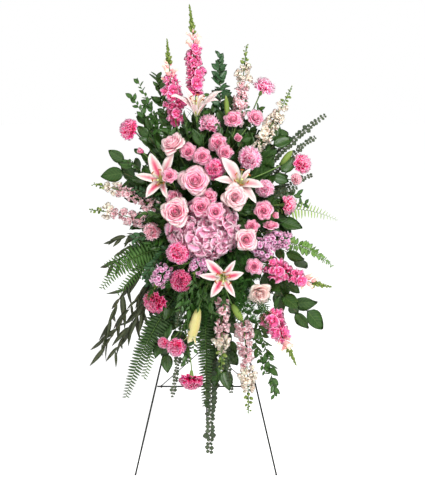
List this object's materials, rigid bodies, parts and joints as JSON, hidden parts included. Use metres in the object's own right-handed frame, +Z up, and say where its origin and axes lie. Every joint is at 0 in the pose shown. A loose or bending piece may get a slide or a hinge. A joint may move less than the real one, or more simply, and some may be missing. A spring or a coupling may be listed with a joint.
{
  "type": "standing funeral spray on an easel",
  "caption": "Standing spray of pink and white cut flowers and greenery in wet foam, leaning on a folding wire easel with a hinged rear leg and a brace.",
  "frame": {"origin": "on the floor, under the middle of the whole object", "axes": "+X to the right seen from the front, -Y towards the viewer, +Z up"},
  "size_m": [0.8328, 0.5868, 1.5502],
  "materials": {
    "easel_wire": "semi-gloss dark green-black paint",
    "cage_plastic": "matte green",
    "wet_foam": "matte, water-soaked",
    "rose_petals": "soft satin petals",
    "lily_petals": "soft satin petals",
    "carnation_petals": "matte ruffled petals",
    "spray_rose_petals": "soft satin petals",
    "hydrangea_petals": "matte petals",
    "snapdragon_petals": "matte petals",
    "larkspur_petals": "matte petals",
    "stock_petals": "matte petals",
    "fern_leaf": "matte leaf",
    "shrub_leaf": "waxy leaf",
    "eucalyptus_leaf": "matte bloomed leaf"
  },
  "bodies": {
    "spray": {"cage_tie_left": "cage_plastic", "cage_tie_right": "cage_plastic", "carnation_centre": "carnation_petals", "carnation_far_left": "carnation_petals", "carnation_top": "carnation_petals", "carnation_top_right": "carnation_petals", "carnation_upper_right": "carnation_petals", "carnations_far_right": "carnation_petals", "carnations_hanging": "carnation_petals", "carnations_left": "carnation_petals", "carnations_lower_left": "carnation_petals", "carnations_right": "carnation_petals", "cross_bar": "easel_wire", "eucalyptus_low": "eucalyptus_leaf", "eucalyptus_right": "eucalyptus_leaf", "fern_centre": "fern_leaf", "fern_left": "fern_leaf", "fern_low_left": "fern_leaf", "fern_low_right": "fern_leaf", "fern_right": "fern_leaf", "floral_foam": "wet_foam", "foam_cage": "cage_plastic", "front_leg_left": "easel_wire", "front_leg_right": "easel_wire", "hinge_bar": "easel_wire", "huckleberry_low": "shrub_leaf", "hydrangea": "hydrangea_petals", "larkspur_hanging": "larkspur_petals", "larkspur_left": "larkspur_petals", "larkspur_top": "larkspur_petals", "lily_left": "lily_petals", "lily_low": "lily_petals", "lily_right": "lily_petals", "lily_top": "lily_petals", "myrtle_left": "shrub_leaf", "myrtle_top": "shrub_leaf", "rose_centre": "rose_petals", "rose_hanging": "rose_petals", "rose_left": "rose_petals", "rose_low_right": "rose_petals", "rose_right": "rose_petals", "rose_upper_left": "rose_petals", "salal_far_left": "shrub_leaf", "salal_left": "shrub_leaf", "salal_low": "shrub_leaf", "salal_low_right": "shrub_leaf", "salal_upper_right": "shrub_leaf", "snapdragons_right": "snapdragon_petals", "snapdragons_top": "snapdragon_petals", "spray_roses_centre": "spray_rose_petals", "spray_roses_left": "spray_rose_petals", "spray_roses_low_right": "spray_rose_petals", "spray_roses_right": "spray_rose_petals", "spray_roses_top": "spray_rose_petals", "spray_roses_upper": "spray_rose_petals", "stock_left": "stock_petals", "stock_right": "stock_petals", "willow_eucalyptus": "eucalyptus_leaf"},
    "rear_leg": {"rear_leg": "easel_wire"},
    "brace": {"brace": "easel_wire"}
  },
  "joints": [
    {"name": "leg_fold", "type": "hinge", "parent": "spray", "child": "rear_leg", "pos_m": [-0.02386, -0.02826, 0.94685], "axis": [-1, 0, 0], "range_deg": [0, 24]},
    {"name": "brace_fold", "type": "hinge", "parent": "spray", "child": "brace", "pos_m": [-0.02386, -0.16818, 0.28855], "axis": [1, 0, 0], "range_deg": [0, 62.5]}
  ],
  "couplings": [
    {"joint": "brace_fold", "follows": "leg_fold", "ratio": 2.6}
  ]
}
